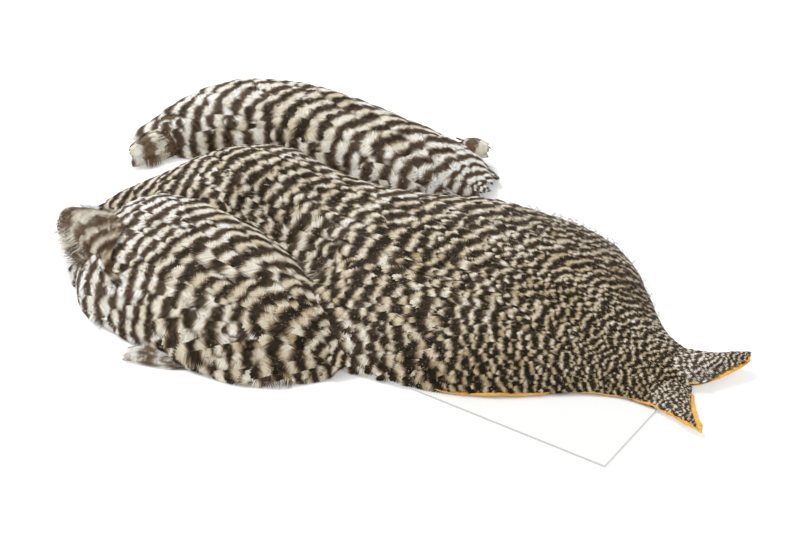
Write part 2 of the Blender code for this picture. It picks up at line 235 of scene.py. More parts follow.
# Colours of the bars by shade, from the golden, darker feathers to the pale bluish ones
DEEP_BARS = ((0.0, (0.012, 0.010, 0.005, 1)), (0.5, (0.028, 0.020, 0.012, 1)),
             (1.0, (0.078, 0.054, 0.040, 1)))
FADED_BARS = ((0.0, (0.026, 0.020, 0.013, 1)), (0.5, (0.050, 0.038, 0.027, 1)),
              (1.0, (0.095, 0.072, 0.056, 1)))
PALE_BARS = ((0.0, (0.43, 0.33, 0.18, 1)), (0.3, (0.60, 0.52, 0.38, 1)),
             (0.65, (0.73, 0.68, 0.57, 1)), (1.0, (0.82, 0.81, 0.78, 1)))
CURLED_BARS = ((0.0, (0.050, 0.028, 0.012, 1)), (0.5, (0.110, 0.066, 0.036, 1)),
               (1.0, (0.200, 0.135, 0.088, 1)))
# The brown between dark and pale bars; it also serves as painted shade on the sides of each vane, and
# as a mottle in the down
BAR_BROWN_AND_SHADE = (0.20, 0.135, 0.080, 1)
DOWN_DARK = (0.055, 0.042, 0.030, 1)
BARB_ROOT, BARB_TIP = (0.16, 0.115, 0.07, 1), (0.62, 0.53, 0.38, 1)
HAIR_ROOT, HAIR_TIP = (0.08, 0.055, 0.035, 1), (0.30, 0.22, 0.15, 1)
HIDE_ORANGE, HIDE_YELLOW = (0.90, 0.36, 0.02, 1), (0.93, 0.58, 0.12, 1)
HIDE_WRINKLES, HIDE_UNDERSIDE = (0.50, 0.16, 0.01, 1), (0.62, 0.56, 0.46, 1)
# The first two are the card's own colours; the third is a painted shade for its thin sides, standing
# in for the shadow line along its edges
CARD_WHITE, CARD_MOTTLED, CARD_SIDE_SHADE = (
    (0.92, 0.92, 0.91, 1), (0.89, 0.89, 0.87, 1), (0.62, 0.63, 0.59, 1))
TABLE_WHITE = (0.93, 0.93, 0.93, 1)


class Wire:
    """An output of a node tree on which plain arithmetic adds Math nodes."""

    def __init__(self, graph, socket):
        self.graph, self.socket = graph, socket

    def other(self, name):
        return Wire(self.graph, self.socket.node.outputs[name])

    def math(self, operation, *values):
        inputs = dict(enumerate(values))
        return self.graph.add("ShaderNodeMath", {"operation": operation}, inputs)

    def __add__(self, other):
        return self.math("ADD", self, other)

    def __sub__(self, other):
        return self.math("SUBTRACT", self, other)

    def __rsub__(self, other):
        return self.math("SUBTRACT", other, self)

    def __mul__(self, other):
        return self.math("MULTIPLY", self, other)

    def __truediv__(self, other):
        return self.math("DIVIDE", self, other)

    __radd__, __rmul__ = __add__, __mul__

    def __abs__(self):
        return self.math("ABSOLUTE", self)

    def floor(self):
        return self.math("FLOOR", self)

    def fract(self):
        return self.math("FRACT", self)

    def sign(self):
        return self.math("SIGN", self)

    def at_least(self, low):
        return self.math("MAXIMUM", self, low)

    def swing(self, reach):
        """Noise from 0 to 1 as an unevenness on both sides of zero."""
        return (self - 0.5) * reach

    def ramp(self, start, end):
        """0 before start, 1 after end, and smooth between them."""
        settings = {"interpolation_type": "SMOOTHSTEP"}
        inputs = {"Value": self, "From Min": start, "From Max": end}
        return self.graph.add("ShaderNodeMapRange", settings, inputs)


class Graph:
    """A node tree that is filled one node at a time."""

    def __init__(self, tree):
        self.tree = tree

    def add(self, kind, settings, inputs, output=0):
        node = self.tree.nodes.new(kind)
        for name, value in settings.items():
            if name == "stops":
                self.fill_ramp(node.color_ramp.elements, value)
            else:
                setattr(node, name, value)
        for name, value in inputs.items():
            if isinstance(value, Wire):
                self.tree.links.new(value.socket, node.inputs[name])
            else:
                node.inputs[name].default_value = value
        return Wire(self, node.outputs[output]) if node.outputs else None

    def fill_ramp(self, elements, stops):
        elements.remove(elements[1])
        elements[0].position, elements[0].color = stops[0]
        for place, colour in stops[1:]:
            elements.new(place).color = colour

    def ramp(self, factor, stops):
        return self.add("ShaderNodeValToRGB", {"stops": stops}, {"Fac": factor})

    def vector(self, x, y, z):
        return self.add("ShaderNodeCombineXYZ", {}, {0: x, 1: y, 2: z})

    def noise(self, vector, scale=1.0, detail=2.0):
        inputs = {"Vector": vector, "Scale": scale, "Detail": detail}
        return self.add("ShaderNodeTexNoise", {}, inputs)

    def colour_mix(self, factor, first, second):
        inputs = {0: factor, 6: first, 7: second}
        return self.add("ShaderNodeMix", {"data_type": "RGBA"}, inputs, output=2)

    def vector_math(self, operation, *vectors):
        inputs = dict(enumerate(vectors))
        return self.add("ShaderNodeVectorMath", {"operation": operation}, inputs)

    def scaled(self, vector, factor):
        inputs = {0: vector, "Scale": factor}
        return self.add("ShaderNodeVectorMath", {"operation": "SCALE"}, inputs)

    def split(self, vector):
        """Its x, with y and z as the other outputs."""
        return self.add("ShaderNodeSeparateXYZ", {}, {0: vector})

    def bump(self, height, strength, depth):
        """Relief of this depth in mm."""
        inputs = {"Strength": strength, "Distance": depth * MM, "Height": height}
        return self.add("ShaderNodeBump", {}, inputs)


def new_material(name):
    material = bpy.data.materials.new(name)
    material.use_nodes = True
    material.node_tree.nodes.clear()
    return material, Graph(material.node_tree)


def close_material(graph, inputs):
    shader = graph.add("ShaderNodeBsdfPrincipled", {}, inputs)
    graph.add("ShaderNodeOutputMaterial", {}, {"Surface": shader})


def vane_places(graph, seed):
    """Where a point is on its feather's cell of the map: side, lie from root to tip, column and row.

    Last comes a number of the cell's own, which sets its noises apart."""
    x = graph.split(graph.add("ShaderNodeUVMap", {"uv_map": "OFBake"}, {}))
    across, along = x * PHASES, x.other("Y") * SHADES
    column, row = across.floor(), along.floor()
    look = column * COLUMN_SHIFT + row * ROW_SHIFT + seed
    return across.fract() * 2 - 1, along.fract(), column, row, look


def feather_material(name, bars, barbs, seed=0.0, lighter=0.0, dark=DEEP_BARS):
    """Barred webby vanes: soft-edged bars across each feather, bars of them to its length."""
    material, graph = new_material(name)
    side, lie, column, row, look = vane_places(graph, seed)
    half = abs(side)
    shade = row / (SHADES - 1)

    # Noises that follow single barbs, clumps of them and the whole vane
    slant = lie - half * 0.16
    barb = graph.noise(graph.vector(slant * barbs, side.sign() * 4 + look, half * 1.4))
    clump = graph.noise(graph.vector(slant * (barbs / 6), side.sign() * 3 + look, half))
    drift = graph.noise(graph.vector(lie * 2.2, side * 0.9, look))

    # The bars bend back at the vane's edges, and level is 0 in a dark bar and 1 in a pale one
    phase = column / PHASES - (1 - lie) * bars
    bend = half * half * 0.10 + clump.swing(0.34) + drift.swing(0.5)
    wave = abs((phase + bend).fract() * 2 - 1)
    level = wave + barb.swing(0.42) + shade.swing(0.16) + lighter

    deep = graph.ramp(shade + clump.swing(1.6), dark)
    pale = graph.ramp(shade + drift.swing(1.4), PALE_BARS)
    turning = graph.colour_mix(level.ramp(0.22, 0.60), deep, BAR_BROWN_AND_SHADE)
    barred = graph.colour_mix(level.ramp(0.42, 0.86), turning, pale)
    # Painted shade: each vane darkens towards its sides, where neighbouring feathers overlap
    shaded_sides = graph.colour_mix(half.ramp(0.72, 1.0) * 0.4, barred, BAR_BROWN_AND_SHADE)
    downy = graph.colour_mix(lie.ramp(0.34, 0.12), shaded_sides, DOWN_DARK)
    close_material(graph, {
        "Base Color": graph.scaled(downy, barb.swing(1.1) + 1),
        "Roughness": 0.66 - 0.2 * barb,
        "Specular IOR Level": 0.06,
        "Normal": graph.bump(barb, strength=0.35, depth=0.2),
    })
    return material


def downy_material(name, root, tip, seed=0.0):
    """Loose unbarred feather ends: hair-like barbs, dark at the root and pale at the tip."""
    material, graph = new_material(name)
    side, lie, _, _, look = vane_places(graph, seed)
    hairs = graph.noise(graph.vector(lie * 5, side * 16, look))
    drift = graph.noise(graph.vector(lie * 2, side * 1.5, look))
    reach = (lie + drift.swing(0.9) + hairs.swing(0.6)).ramp(0.55, 1.2)
    close_material(graph, {
        "Base Color": graph.scaled(graph.colour_mix(reach, root, tip), hairs.swing(1.6) + 1),
        "Roughness": 0.75 - 0.2 * hairs,
        "Specular IOR Level": 0.18,
    })
    return material


def down_material(name, colour):
    """The dark down under the vanes."""
    material, graph = new_material(name)
    place = graph.add("ShaderNodeTexCoord", {}, {}).other("Object")
    tufts = graph.noise(place, scale=900.0, detail=4.0)
    close_material(graph, {
        "Base Color": graph.colour_mix(tufts, colour, BAR_BROWN_AND_SHADE),
        "Roughness": 0.9 - 0.2 * tufts,
        "Specular IOR Level": 0.1,
        "Normal": graph.bump(tufts, strength=0.8, depth=0.6),
    })
    return material


def piece_places(graph):
    """Where a point is on its piece, and how far its face looks down: 0 is up and 2 is down."""
    surface = graph.add("ShaderNodeTexCoord", {}, {})
    return surface.other("Object"), 1 - graph.split(surface.other("Normal")).other("Z")


def hide_material():
    """Dried skin: waxy yellow, orange where it is thick, with fine wrinkles."""
    material, graph = new_material("dried_yellow_hide")
    place, downward = piece_places(graph)
    patches = graph.noise(place, scale=120.0, detail=3.0)
    wrinkles = graph.noise(place, scale=900.0, detail=5.0)
    base = graph.colour_mix(patches.ramp(0.35, 0.65), HIDE_ORANGE, HIDE_YELLOW)
    top = graph.colour_mix((1 - wrinkles).ramp(0.45, 0.75) * 0.5, base, HIDE_WRINKLES)
    close_material(graph, {
        "Base Color": graph.colour_mix(downward.ramp(1.2, 1.7), top, HIDE_UNDERSIDE),
        "Roughness": 0.35 + 0.25 * wrinkles,
        "Subsurface Weight": 0.15,
        "Subsurface Radius": (2.0 * MM, 1.0 * MM, 0.4 * MM),
        "Normal": graph.bump(wrinkles, strength=0.7, depth=0.5),
    })
    return material


def card_material():
    """Smooth white card with a faint fibre; its thin sides take a painted shade, a darker line along
    its edges.
    """
    material, graph = new_material("white_card")
    place, downward = piece_places(graph)
    fibre = graph.noise(place, scale=1500.0, detail=4.0)
    mottle = graph.noise(place, scale=40.0)
    face = graph.colour_mix(mottle, CARD_WHITE, CARD_MOTTLED)
    close_material(graph, {
        # Painted shade: faces that turn away from up, the card's thin sides, take the darker
        # grey-green
        "Base Color": graph.colour_mix(downward.ramp(0.3, 0.8), face, CARD_SIDE_SHADE),
        "Roughness": 0.5 + 0.2 * fibre,
        "Normal": graph.bump(fibre, strength=0.15, depth=0.1),
    })
    return material


def smooth_between(values, places):
    """Catmull-Rom through the rows of values, at places counted in whole steps."""
    values, places = np.asarray(values, float), np.asarray(places, float)
    last = len(values) - 1
    i = np.clip(np.floor(places).astype(int), 0, last - 1)
    t = (places - i)[:, None]
    before, a, b, after = (values[np.clip(i + k, 0, last)] for k in (-1, 0, 1, 2))
    before = np.where((i == 0)[:, None], 2 * a - b, before)
    after = np.where((i == last - 1)[:, None], 2 * b - a, after)
    return 0.5 * (
        2 * a
        + (b - before) * t
        + (2 * before - 5 * a + 4 * b - after) * t * t
        + (3 * a - before - 3 * b + after) * t * t * t
    )


def unit(vectors):
    return vectors / np.maximum(np.linalg.norm(vectors, axis=1)[:, None], 1e-9)


def beside(across, step, inner, outer):
    """The places a step to each side, kept off the edges, where the surface is steepest."""
    return np.clip(across - step, -outer, inner), np.clip(across + step, -inner, outer)


class Mound:
    """A mass of feathers. A place on it is how far along it is, in mm, and how far across, -1 to 1.

    fade_in is the distance in which the mass dies away ahead of its head end."""

    def __init__(self, stations, fade_in=1.0, hollows=()):
        self.rows = np.array([(*a, *b, crest, foot) for a, b, crest, foot in stations], float)
        middles = (self.rows[:, 0:2] + self.rows[:, 2:4]) / 2
        steps = np.linalg.norm(np.diff(middles, axis=0), axis=1)
        self.travel = np.concatenate([[0], np.cumsum(steps)])
        self.length = self.travel[-1]
        self.fade_in, self.hollows = fade_in, hollows

    def sections(self, along):
        """Middle, half width, crest and foot at these distances. Past the ends it runs on straight."""
        along = np.asarray(along, float)
        inside = np.clip(along, 0, self.length)
        row = smooth_between(
            self.rows, np.interp(inside, self.travel, np.arange(len(self.travel))))
        middle, half = (row[:, 0:2] + row[:, 2:4]) / 2, (row[:, 2:4] - row[:, 0:2]) / 2
        ahead = np.where((along < 0)[:, None], *(self.heading(k) for k in (0, self.length)))
        middle = middle + ahead * (along - inside)[:, None]
        crest, foot = row[:, 4], row[:, 5]
        fall = np.where(along < 0, np.exp(along / self.fade_in), 1.0)
        drop = np.where(along > self.length, np.exp((self.length - along) / TAIL_FALL), 1.0)
        past = np.clip((along - self.length) / TAIL_ROUNDING, 0, TAIL_STOP)
        half = half * np.sqrt(1 - past**2)[:, None]
        return middle, half, crest * fall * drop, foot

    def heading(self, along):
        a, b = self.rows[(0, 1) if along <= 0 else (-2, -1), :]
        step = (b[0:2] + b[2:4] - a[0:2] - a[2:4]) / 2
        return step / np.linalg.norm(step)

    def surface(self, along, across):
        """Points on top of the mass, in mm. Past -1 and 1 they run on outwards."""
        middle, half, crest, foot = self.sections(along)
        across = np.asarray(across, float)
        beyond = np.maximum(np.abs(across) - 1, 0)
        rise = (1 - np.clip(np.abs(across), 0, 1) ** CROSS_POWER) ** CROSS_ROUNDING
        flat = middle + half * np.clip(across, -1, 1)[:, None]
        flat = flat + unit(half) * (np.sign(across) * beyond * SIDE_RUN_ON)[:, None]
        height = crest * rise
        for place, radius, depth in self.hollows:
            away = np.sum((flat - place) ** 2, axis=1) / radius**2
            height = height - depth * np.exp(-away) * rise
        return np.column_stack([flat, foot + np.maximum(height, 0) + SURFACE_RISE])

    def even_across(self, along, parts):
        """The across values at these shares of the way over the section, and the whole way in mm."""
        fine = np.linspace(-1, 1, ARC_POINTS)
        points = self.surface(np.full(ARC_POINTS, along), fine)
        arc = np.concatenate([[0], np.cumsum(np.linalg.norm(np.diff(points, axis=0), axis=1))])
        return np.interp(np.asarray(parts) * arc[-1], arc, fine), arc[-1]

    def axes(self, along, across):
        """Unit vectors across and out of the surface."""
        ahead = self.surface(along + SLOPE_STEP, across) - self.surface(along - SLOPE_STEP, across)
        low, high = beside(across, step=0.01, inner=1, outer=0.995)
        sideways = self.surface(along, high) - self.surface(along, low)
        out = np.cross(ahead, sideways)
        out *= np.sign(out[:, 2:3] + 1e-9)
        return unit(sideways), unit(out)


def waves(points, seed, size):
    """Smooth unevenness, mostly from -1 to 1: five waves about size mm long in all directions."""
    rng = np.random.default_rng(seed)
    total = np.zeros(len(points))
    for _ in range(5):
        direction = rng.normal(size=2)
        direction *= 2 * math.pi / size / np.linalg.norm(direction)
        shorter, start = rng.uniform(0.7, 1.4), rng.uniform(0, 6.3)
        total += np.sin(points[:, 0:2] @ direction * shorter + start)
    return total / 3


def grid_faces(rows, columns):
    corner = np.arange((rows - 1) * columns).reshape(rows - 1, columns)[:, :-1].ravel()
    return np.column_stack([corner, corner + 1, corner + columns + 1, corner + columns])


def place_in_scene(name, data):
    """A new object that shows this mesh, light or camera."""
    obj = bpy.data.objects.new(name, data)
    bpy.context.scene.collection.objects.link(obj)
    return obj


def add_mesh(name, points_mm, faces=()):
    """A mesh object from points in the pelt's frame, in mm."""
    mesh = bpy.data.meshes.new(name)
    mesh.from_pydata((np.asarray(points_mm) * MM + PELT).tolist(), [], np.asarray(faces).tolist())
    return place_in_scene(name, mesh)


def guide_surface(name, mound):
    """The skin that feathers are laid on, with room past its edges for their tips."""
    rows = max(int(mound.length / GUIDE_STEP), GUIDE_ROWS_AT_LEAST)
    inside = np.linspace(0, mound.length, rows)
    along = np.concatenate([GUIDE_BEFORE, inside, mound.length + np.array(GUIDE_PAST)])
    parts, beside = np.linspace(0, 1, GUIDE_COLUMNS), np.array(GUIDE_BESIDE)
    points = []
    for place in along:
        across, _ = mound.even_across(min(max(place, 0), mound.length), parts)
        across = np.concatenate([-beside[::-1], across, beside])
        points.append(mound.surface(np.full(len(across), place), across))
    guide = add_mesh(name, np.concatenate(points), grid_faces(len(along), len(points[0])))
    guide.data.shade_smooth()
    if sum(face.normal.z for face in guide.data.polygons) < 0:
        guide.data.flip_normals()
    out = guide.data.attributes.new("out", "FLOAT_VECTOR", "POINT")
    normals = np.zeros(len(guide.data.vertices) * 3, np.float32)
    guide.data.vertex_normals.foreach_get("vector", normals)
    out.data.foreach_set("vector", normals)
    return guide


def down_body(name, mound, material):
    """The closed body of down under a mass of feathers."""
    rows = max(int(mound.length / DOWN_STEP), DOWN_ROWS_AT_LEAST)
    parts = np.linspace(0, 1, DOWN_COLUMNS)
    mesh = bmesh.new()
    rings = []
    for place in np.linspace(DOWN_FROM_HEAD, mound.length - DOWN_FROM_TAIL, rows):
        across, _ = mound.even_across(place, parts)
        points = mound.surface(np.full(DOWN_COLUMNS, place), across * DOWN_WIDTH)
        foot = mound.sections([place])[3][0] + DOWN_FOOT
        points[:, 2] = np.maximum(points[:, 2] - DOWN_INSET, foot + DOWN_THINNEST)
        under = points[::-1].copy()
        under[:, 2] = foot
        ring = np.concatenate([points, under[1:-1]]) * MM + PELT
        rings.append([mesh.verts.new(p) for p in ring])
    count = len(rings[0])
    for first, second in zip(rings, rings[1:]):
        for k in range(count):
            following = (k + 1) % count
            mesh.faces.new((first[k], first[following], second[following], second[k]))
    for ring in (rings[0], rings[-1]):
        mesh.faces.new(ring)
    bmesh.ops.recalc_face_normals(mesh, faces=mesh.faces)
    data = bpy.data.meshes.new(name)
    mesh.to_mesh(data)
    mesh.free()
    data.shade_smooth()
    data.materials.append(material)
    return place_in_scene(name, data)


def outline_width(place, point):
    """Half width of a vane of unit width at a place from -1, its root, to 0, its tip.

    point says how the tip ends: 0 is round, and the nearer to 1, the narrower it is."""
    widest = -0.34 - 0.22 * point
    tip = np.sqrt(np.clip(1 - ((place - widest) / -widest) ** 2, 0, 1)) ** (1 + 0.5 * point)
    swelling = np.clip((place + VANE_START) / (VANE_START + widest), 0, 1) ** 0.7
    base = ROOT_WIDTH + (1 - ROOT_WIDTH) * swelling
    return 0.5 * np.where(place > widest, tip, base)


def feather_template(name, barbs, steps, point, ragged, web, rng, collection):
    """A feather of unit length and width with its tip at zero: tapering barbs on both sides.

    web is how much of the room between its barbs each fills, and ragged how much shorter some are.
    The attributes lie and side say where on the feather a point is, and shaft whether it is on it."""
    index = np.arange(barbs + 1) / barbs
    root = LOWEST_BARB + BARBED_LENGTH * index
    reach = LOW_BARB_LEAN * (1 - index) + TIP_BARB_LEAN
    cuts = np.linspace(0, 1, steps + 1)
    taper = np.interp(cuts, *BARB_TAPER) * web
    verts, faces = [], []
    for hand in (-1, 1):
        end_x = np.minimum(root + reach, 0.0)
        end_y = hand * outline_width(end_x, point)
        line = np.empty((barbs + 1, steps + 1, 2))
        line[:, :, 0] = root[:, None] + (end_x - root)[:, None] * cuts[None, :] ** AHEAD_CURVE
        line[:, :, 1] = end_y[:, None] * cuts[None, :] ** OUTWARD_CURVE
        for k in range(barbs):
            length = 1 - ragged * rng.random()
            middle = (line[k] + line[k + 1]) / 2
            middle = middle[0] + (middle - middle[0]) * length
            half = (line[k + 1] - line[k]) / 2 * taper[:, None]
            half[-1] = half[-1] + (rng.random(2) - 0.5) * BARB_END_SCATTER
            start = len(verts)
            for low, high in zip(middle - half, middle + half):
                verts += [low, high]
            for s in range(steps):
                a = start + 2 * s
                quad = (a, a + 1, a + 3, a + 2)
                faces.append(quad if hand > 0 else quad[::-1])
    shaft = SHAFT_WIDTH * web
    start = len(verts)
    for x, half_width in ((-1.0, shaft), (SHAFT_MIDDLE, shaft * SHAFT_TAPER)):
        verts += [(x, -half_width), (x, half_width)]
    verts.append((SHAFT_END, 0))
    faces += [(start, start + 2, start + 3, start + 1), (start + 2, start + 4, start + 3)]

    flat = np.array(verts)
    mesh = bpy.data.meshes.new(name)
    mesh.from_pydata(np.column_stack([flat, np.zeros(len(flat))]).tolist(), [], faces)
    mesh.shade_smooth()
    lie, side = flat[:, 0] + 1, flat[:, 1] * 2
    on_shaft = np.zeros(len(flat))
    on_shaft[start:] = 1
    for label, values in (("lie", lie), ("side", side), ("shaft", on_shaft)):
        mesh.attributes.new(label, "FLOAT", "POINT").data.foreach_set("value", values)
    room = 1 - 2 * CELL_MARGIN
    uv = mesh.uv_layers.new(name="cell")
    corners = np.zeros(len(mesh.loops), int)
    mesh.loops.foreach_get("vertex_index", corners)
    place = np.column_stack([
        0.5 + 0.5 * room * np.clip(side, -1, 1), CELL_MARGIN + room * np.clip(lie, 0, 1)])
    uv.data.foreach_set("uv", place[corners].ravel())
    obj = bpy.data.objects.new(name, mesh)
    collection.objects.link(obj)


def templates(name, barbs, steps, point, seed, ragged=0.14, web=1.0):
    """A collection of feathers of one kind, alike but for the ends of their barbs."""
    collection = bpy.data.collections.new(name)
    rng = np.random.default_rng(seed)
    for k in range(VARIANTS):
        feather_template(f"{name}_{k}", barbs, steps, point, ragged, web, rng, collection)
    return collection


def plumage_tree():
    """Geometry Nodes: lays a feather on each follicle and presses it onto the guide surface."""
    tree = bpy.data.node_groups.new("lay_feathers", "GeometryNodeTree")
    tree.is_modifier = True
    for name, kind in (
        ("Follicles", "NodeSocketGeometry"),
        ("Feathers", "NodeSocketCollection"),
        ("Guide", "NodeSocketObject"),
        ("Finish", "NodeSocketMaterial"),
        ("Arch", "NodeSocketFloat"),
        ("Lowest", "NodeSocketFloat"),
    ):
        tree.interface.new_socket(name, in_out="INPUT", socket_type=kind)
    tree.interface.new_socket("Plumage", in_out="OUTPUT", socket_type="NodeSocketGeometry")
    graph = Graph(tree)
    given = graph.add("NodeGroupInput", {}, {})

    def stored(name, kind="FLOAT"):
        return graph.add("GeometryNodeInputNamedAttribute", {"data_type": kind}, {"Name": name})

    feathers = graph.add("GeometryNodeCollectionInfo", {}, {
        "Collection": given.other("Feathers"), "Separate Children": True, "Reset Children": True})
    turned = graph.add(
        "FunctionNodeAxesToRotation",
        {"primary_axis": "Z", "secondary_axis": "X"},
        {0: stored("up", "FLOAT_VECTOR"), 1: stored("flow", "FLOAT_VECTOR")})
    laid = graph.add("GeometryNodeInstanceOnPoints", {}, {
        "Points": given,
        "Instance": feathers,
        "Pick Instance": True,
        "Instance Index": stored("kind", "INT"),
        "Rotation": turned,
        "Scale": stored("extent", "FLOAT_VECTOR"),
    })
    real = graph.add("GeometryNodeRealizeInstances", {}, {"Geometry": laid})

    guide = graph.add(
        "GeometryNodeObjectInfo", {"transform_space": "RELATIVE"}, {"Object": given.other("Guide")}
    ).other("Geometry")
    place = graph.add("GeometryNodeInputPosition", {}, {})

    def on_guide(value):
        inputs = {"Mesh": guide, "Value": value, "Sample Position": place}
        settings = {"data_type": "FLOAT_VECTOR"}
        return graph.add("GeometryNodeSampleNearestSurface", settings, inputs)

    foot, out = on_guide(place), on_guide(stored("out", "FLOAT_VECTOR"))
    side, breadth = stored("side"), stored("breadth")
    height = (
        stored("lift")
        - stored("thick") * (1 - stored("lie"))
        - side * side * breadth * given.other("Arch")
        + side * breadth * stored("roll")
        + stored("shaft") * (SHAFT_RISE * MM)
    )
    moved = graph.split(graph.vector_math("ADD", foot, graph.scaled(out, height)))
    low = moved.other("Z").at_least(given.other("Lowest"))
    final = graph.vector(moved, moved.other("Y"), low)
    pressed = graph.add("GeometryNodeSetPosition", {}, {"Geometry": real, "Position": final})

    cell = graph.vector_math(
        "ADD", stored("cell", "FLOAT_VECTOR"), stored("cell_at", "FLOAT_VECTOR"))
    mapped = graph.add(
        "GeometryNodeStoreNamedAttribute",
        {"data_type": "FLOAT2", "domain": "CORNER"},
        {
            "Geometry": pressed,
            "Name": "OFBake",
            "Value": graph.vector_math("MULTIPLY", cell, (1 / PHASES, 1 / SHADES, 0)),
        })
    finished = graph.add(
        "GeometryNodeSetMaterial", {}, {"Geometry": mapped, "Material": given.other("Finish")})
    graph.add("NodeGroupOutput", {}, {"Plumage": finished})
    return tree


def bar_places(mound, plume, seed, along, across):
    """Which bar each place lies in, counted from the head, with its fraction."""
    points = mound.surface(along, across)
    if "centre" in plume:
        travelled = np.linalg.norm(points[:, 0:2] - plume["centre"], axis=1)
    else:
        _, half, _, _ = mound.sections(along)
        fan = np.interp(along, *np.array(plume["fan"]).T)
        turn = plume["lean"] * across + fan * across**2 / 2
        travelled = along + turn * np.linalg.norm(half, axis=1)
    step, before, past = 0.25, 60, 120
    fine = np.arange(-before, mound.length + past, step)
    pitch_at, pitches = np.array(plume.get("rings", plume["pitch"])).T
    bars = np.interp(travelled, fine, np.cumsum(step / np.interp(fine, pitch_at, pitches)))
    wave, ripple = plume["waves"]
    bars += waves(points, seed + 1, BAR_WAVE) * wave
    bars += waves(points, seed + 2, BAR_RIPPLE) * ripple
    return bars + plume["offset"], np.interp(travelled, pitch_at, pitches)


def bar_flow(mound, plume, seed, along, across):
    """The way feathers point, square to the bars, and the distance from one bar to the next."""
    low, high = beside(across, step=0.02, inner=0.95, outer=0.99)
    steps, changes = [], []
    for first, second in (
        ((along - SLOPE_STEP, across), (along + SLOPE_STEP, across)),
        ((along, low), (along, high)),
    ):
        steps.append(mound.surface(*second) - mound.surface(*first))
        changes.append(
            bar_places(mound, plume, seed, *second)[0] - bar_places(mound, plume, seed, *first)[0])
    (a, b), (rise_a, rise_b) = steps, changes
    aa, ab, bb = (np.sum(p * q, axis=1) for p, q in ((a, a), (a, b), (b, b)))
    area = np.maximum(aa * bb - ab**2, 1e-9)
    slope = a * ((bb * rise_a - ab * rise_b) / area)[:, None]
    slope += b * ((aa * rise_b - ab * rise_a) / area)[:, None]
    steepness = np.maximum(np.linalg.norm(slope, axis=1), 1e-6)
    return slope / steepness[:, None], 1 / steepness


def follicles(name, mound, plume, seed):
    """A point at each feather's tip, with the feather's direction, size and place in the atlas."""
    rng = np.random.default_rng(seed)
    pitch_at, pitches = np.array(plume["pitch"]).T
    along, across = [], []
    at, row = FIRST_ROW, 0
    while at < mound.length + plume["overrun"]:
        length = plume["bars"] * np.interp(at, pitch_at, pitches)
        inside = min(at, mound.length)
        _, arc = mound.even_across(inside, [0.5])
        count = max(round(arc / (length * plume["breadth"] * plume["spread"])), 3)
        shifts = rng.normal(0, ACROSS_SCATTER, count + 2) - 0.5 * (row % 2)
        parts = np.clip((np.arange(count + 2) + shifts) / count, 0, 1)
        values, _ = mound.even_across(inside, parts)
        along += list(at + rng.normal(0, ALONG_SCATTER, count + 2) * length * plume["step"])
        across += list(values)
        at += length * plume["step"]
        row += 1

    along = np.clip(along, NEAREST_TIP, mound.length + plume["overrun"] + 1)
    across = np.array(across)
    count = len(along)
    tips = mound.surface(along, across)
    sideways, out = mound.axes(along, across)
    bar, pitch = bar_places(mound, plume, seed, along, across)
    bar += rng.normal(0, 1, count) * np.interp(along, *np.array(plume["uneven"]).T)
    flow, apart = bar_flow(mound, plume, seed, along, across)
    aside = rng.normal(0, plume["stray"], count) + plume["splay"] * across**5
    flow = flow + sideways * aside[:, None]
    flow = unit(flow - out * np.sum(flow * out, axis=1)[:, None])

    length = plume["bars"] * np.clip(apart, SHORTEST * pitch, LONGEST * pitch)
    length = length * rng.normal(1, LENGTH_SCATTER, count)
    length = np.minimum(length, along + plume["run_in"])
    width = length * plume["breadth"] * rng.normal(1, BREADTH_SCATTER, count)
    shade = np.interp(along, *np.array(plume["tone"]).T) + plume["tone_across"] * across
    shade += SHADE_REACH * waves(tips, seed + 3, SHADE_WAVE) + rng.normal(0, SHADE_SCATTER, count)
    cell = np.column_stack([
        np.floor((bar % 1) * PHASES),
        np.clip(np.floor(shade * SHADES), 0, SHADES - 1),
        np.zeros(count),
    ])

    (low, high), (near, far) = plume["part"], plume["band"]
    here = (along >= low) & (along < high) & (across >= near) & (across < far)
    points = add_mesh(name, tips[here])
    for label, kind, values in (
        ("flow", "FLOAT_VECTOR", flow),
        ("up", "FLOAT_VECTOR", out),
        ("extent", "FLOAT_VECTOR", np.column_stack([length, width, length]) * MM),
        ("cell_at", "FLOAT_VECTOR", cell),
        ("breadth", "FLOAT", width * MM),
        ("thick", "FLOAT", length * plume["thick"] * MM),
        ("lift", "FLOAT", (plume["lift"] + rng.normal(0, LIFT_SCATTER, count) * length) * MM),
        ("roll", "FLOAT", rng.normal(0, plume["roll"], count)),
        ("kind", "INT", rng.integers(0, VARIANTS, count)),
    ):
        attribute = points.data.attributes.new(label, kind, "POINT")
        field = "vector" if kind == "FLOAT_VECTOR" else "value"
        attribute.data.foreach_set(field, np.ravel(values[here]))
    return points


def lay_feathers(name, mound, plume, material, tree, seed):
    """All the feathers of one mass as a plain mesh."""
    plume = PLAIN_PLUME | plume
    guide = guide_surface(name + "_guide", mound)
    points = follicles(name + "_follicles", mound, plume, seed)
    modifier = points.modifiers.new("feathers", "NODES")
    modifier.node_group = tree
    given = {
        "Feathers": plume["feathers"],
        "Guide": guide,
        "Finish": material,
        "Arch": VANE_ARCH,
        "Lowest": LOWEST_FEATHER * MM,
    }
    for item in tree.interface.items_tree:
        if item.in_out == "INPUT" and item.name in given:
            modifier[item.identifier] = given[item.name]
    graph = bpy.context.evaluated_depsgraph_get()
    mesh = bpy.data.meshes.new_from_object(points.evaluated_get(graph))
    mesh.name = name
    for spare in [a.name for a in mesh.attributes]:
        attribute = mesh.attributes[spare]
        if spare != "OFBake" and not attribute.is_internal and not attribute.is_required:
            mesh.attributes.remove(attribute)
    mesh.uv_layers.active = mesh.uv_layers["OFBake"]
    mesh.materials.clear()
    mesh.materials.append(material)
    mesh.shade_smooth()
    bpy.data.objects.remove(points)
    bpy.data.objects.remove(guide)
    return place_in_scene(name, mesh)


